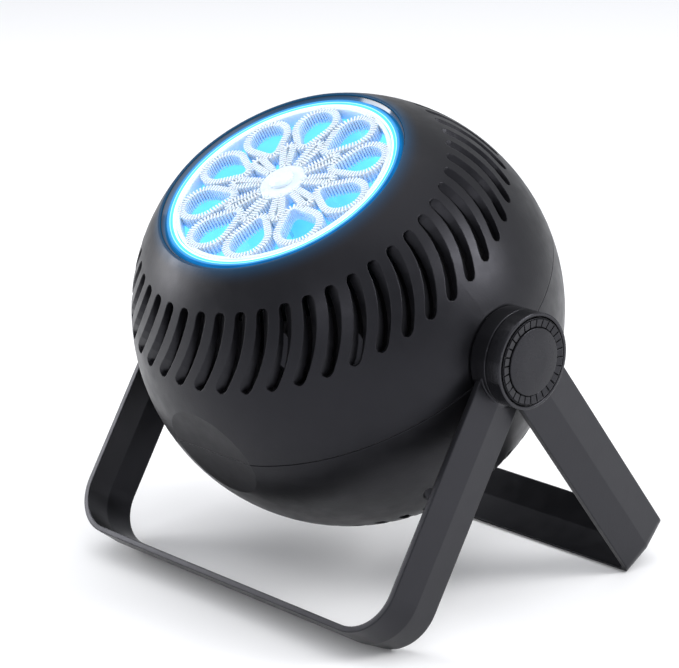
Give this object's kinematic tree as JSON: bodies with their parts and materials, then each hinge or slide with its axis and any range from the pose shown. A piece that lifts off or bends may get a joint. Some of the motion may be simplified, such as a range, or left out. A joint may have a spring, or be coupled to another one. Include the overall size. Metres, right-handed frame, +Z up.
{
  "type": "bubble machine",
  "caption": "Ball-shaped bubble blower with a lit wand wheel in its mouth and louvred sides, hung by clamp knobs between two folding U-shaped stands.",
  "frame": {"origin": "on the floor, straight below the middle of the pivot axis", "axes": "+Z up, the mouth faces -Y and up, the pivot axis is along X"},
  "size_m": [0.1858, 0.1599, 0.1772],
  "materials": {
    "shell_black": "fine spark-textured charcoal black ABS",
    "stand_black": "satin black ABS",
    "knob_black": "satin black ABS",
    "bezel_gloss": "gloss smoked polycarbonate",
    "light_guide": "frosted acrylic, lit blue",
    "led_dome": "epoxy dome",
    "white_abs": "moulded white ABS",
    "gear_acetal": "moulded acetal",
    "tank_clear": "translucent polypropylene",
    "inner_abs": "moulded black ABS",
    "black_rubber": "moulded silicone rubber",
    "clear_silicone": "moulded translucent silicone rubber",
    "zinc_steel": "zinc plated",
    "sintered_brass": "turned",
    "motor_can": "plated can; aluminium stands for a motor's mean density",
    "cell_wrap": "blue shrink wrap; aluminium stands for a cell's mean density",
    "circuit_board": "solder mask on glass epoxy",
    "switch_black": "moulded nylon",
    "button_gloss": "satin grey ABS",
    "nickel_shell": "nickel plated sheet",
    "lens_clear": "clear polycarbonate",
    "axle_nylon": "moulded nylon"
  },
  "bodies": {
    "front_stand": {"inner_washers": "black_rubber", "front_stand": "stand_black", "front_foot": "black_rubber"},
    "rear_stand": {"outer_washers": "black_rubber", "rear_stand": "stand_black", "rear_foot": "black_rubber"},
    "head": {"front_shell": "shell_black", "rear_shell": "shell_black", "shell_screws": "zinc_steel", "bezel_ring": "bezel_gloss", "light_guide": "light_guide", "led_board": "circuit_board", "leds": "led_dome", "solution_tank": "tank_clear", "wiper_blade": "clear_silicone", "chassis_plate": "inner_abs", "chassis_screws": "zinc_steel", "shaft_bushes": "sintered_brass", "gearbox": "inner_abs", "gear_motor": "motor_can", "fan_housing": "inner_abs", "fan_cover": "inner_abs", "fan_motor": "motor_can", "air_duct": "inner_abs", "battery_cells": "cell_wrap", "battery_tray": "inner_abs", "main_board": "circuit_board", "tact_switch": "switch_black", "usb_c_inlet": "nickel_shell", "indicator_lens": "lens_clear", "pivot_axle_right": "axle_nylon", "pivot_axle_left": "axle_nylon", "pivot_studs": "zinc_steel"},
    "wheel": {"wand_wheel": "white_abs", "wheel_cap": "white_abs", "wheel_shaft": "zinc_steel", "wheel_gear": "gear_acetal"},
    "pinion": {"drive_pinion": "gear_acetal"},
    "impeller": {"fan_impeller": "white_abs"},
    "button": {"power_button": "button_gloss"},
    "right_knob": {"knob_right": "knob_black", "knob_insert_right": "sintered_brass"},
    "left_knob": {"knob_left": "knob_black", "knob_insert_left": "sintered_brass"}
  },
  "joints": [
    {"name": "stand_fold", "type": "hinge", "parent": "front_stand", "child": "rear_stand", "pos_m": [0, 0, 0.09792], "axis": [-1, 0, 0], "range_deg": [0, 69.5]},
    {"name": "head_tilt", "type": "hinge", "parent": "front_stand", "child": "head", "pos_m": [0, 0, 0.09792], "axis": [1, 0, 0], "continuous": true},
    {"name": "wheel_spin", "type": "hinge", "parent": "head", "child": "wheel", "pos_m": [0, 0, 0.09792], "axis": [0, -0.4868, 0.8735], "continuous": true},
    {"name": "pinion_spin", "type": "hinge", "parent": "head", "child": "pinion", "pos_m": [-0.0224, 0, 0.09792], "axis": [0, -0.4868, 0.8735], "continuous": true},
    {"name": "fan_spin", "type": "hinge", "parent": "head", "child": "impeller", "pos_m": [0, 0.0177, 0.0826], "axis": [1, 0, 0], "continuous": true},
    {"name": "power_press", "type": "slide", "parent": "head", "child": "button", "axis": [0, -0.9795, -0.2016], "range_m": [0, 0.0006], "stiffness_N_per_m": 800},
    {"name": "right_knob_turn", "type": "hinge", "parent": "head", "child": "right_knob", "pos_m": [0, 0, 0.09792], "axis": [1, 0, 0], "range_deg": [0, 360]},
    {"name": "left_knob_turn", "type": "hinge", "parent": "head", "child": "left_knob", "pos_m": [0, 0, 0.09792], "axis": [-1, 0, 0], "range_deg": [0, 360]}
  ],
  "couplings": [
    {"joint": "pinion_spin", "follows": "wheel_spin", "ratio": -3}
  ]
}
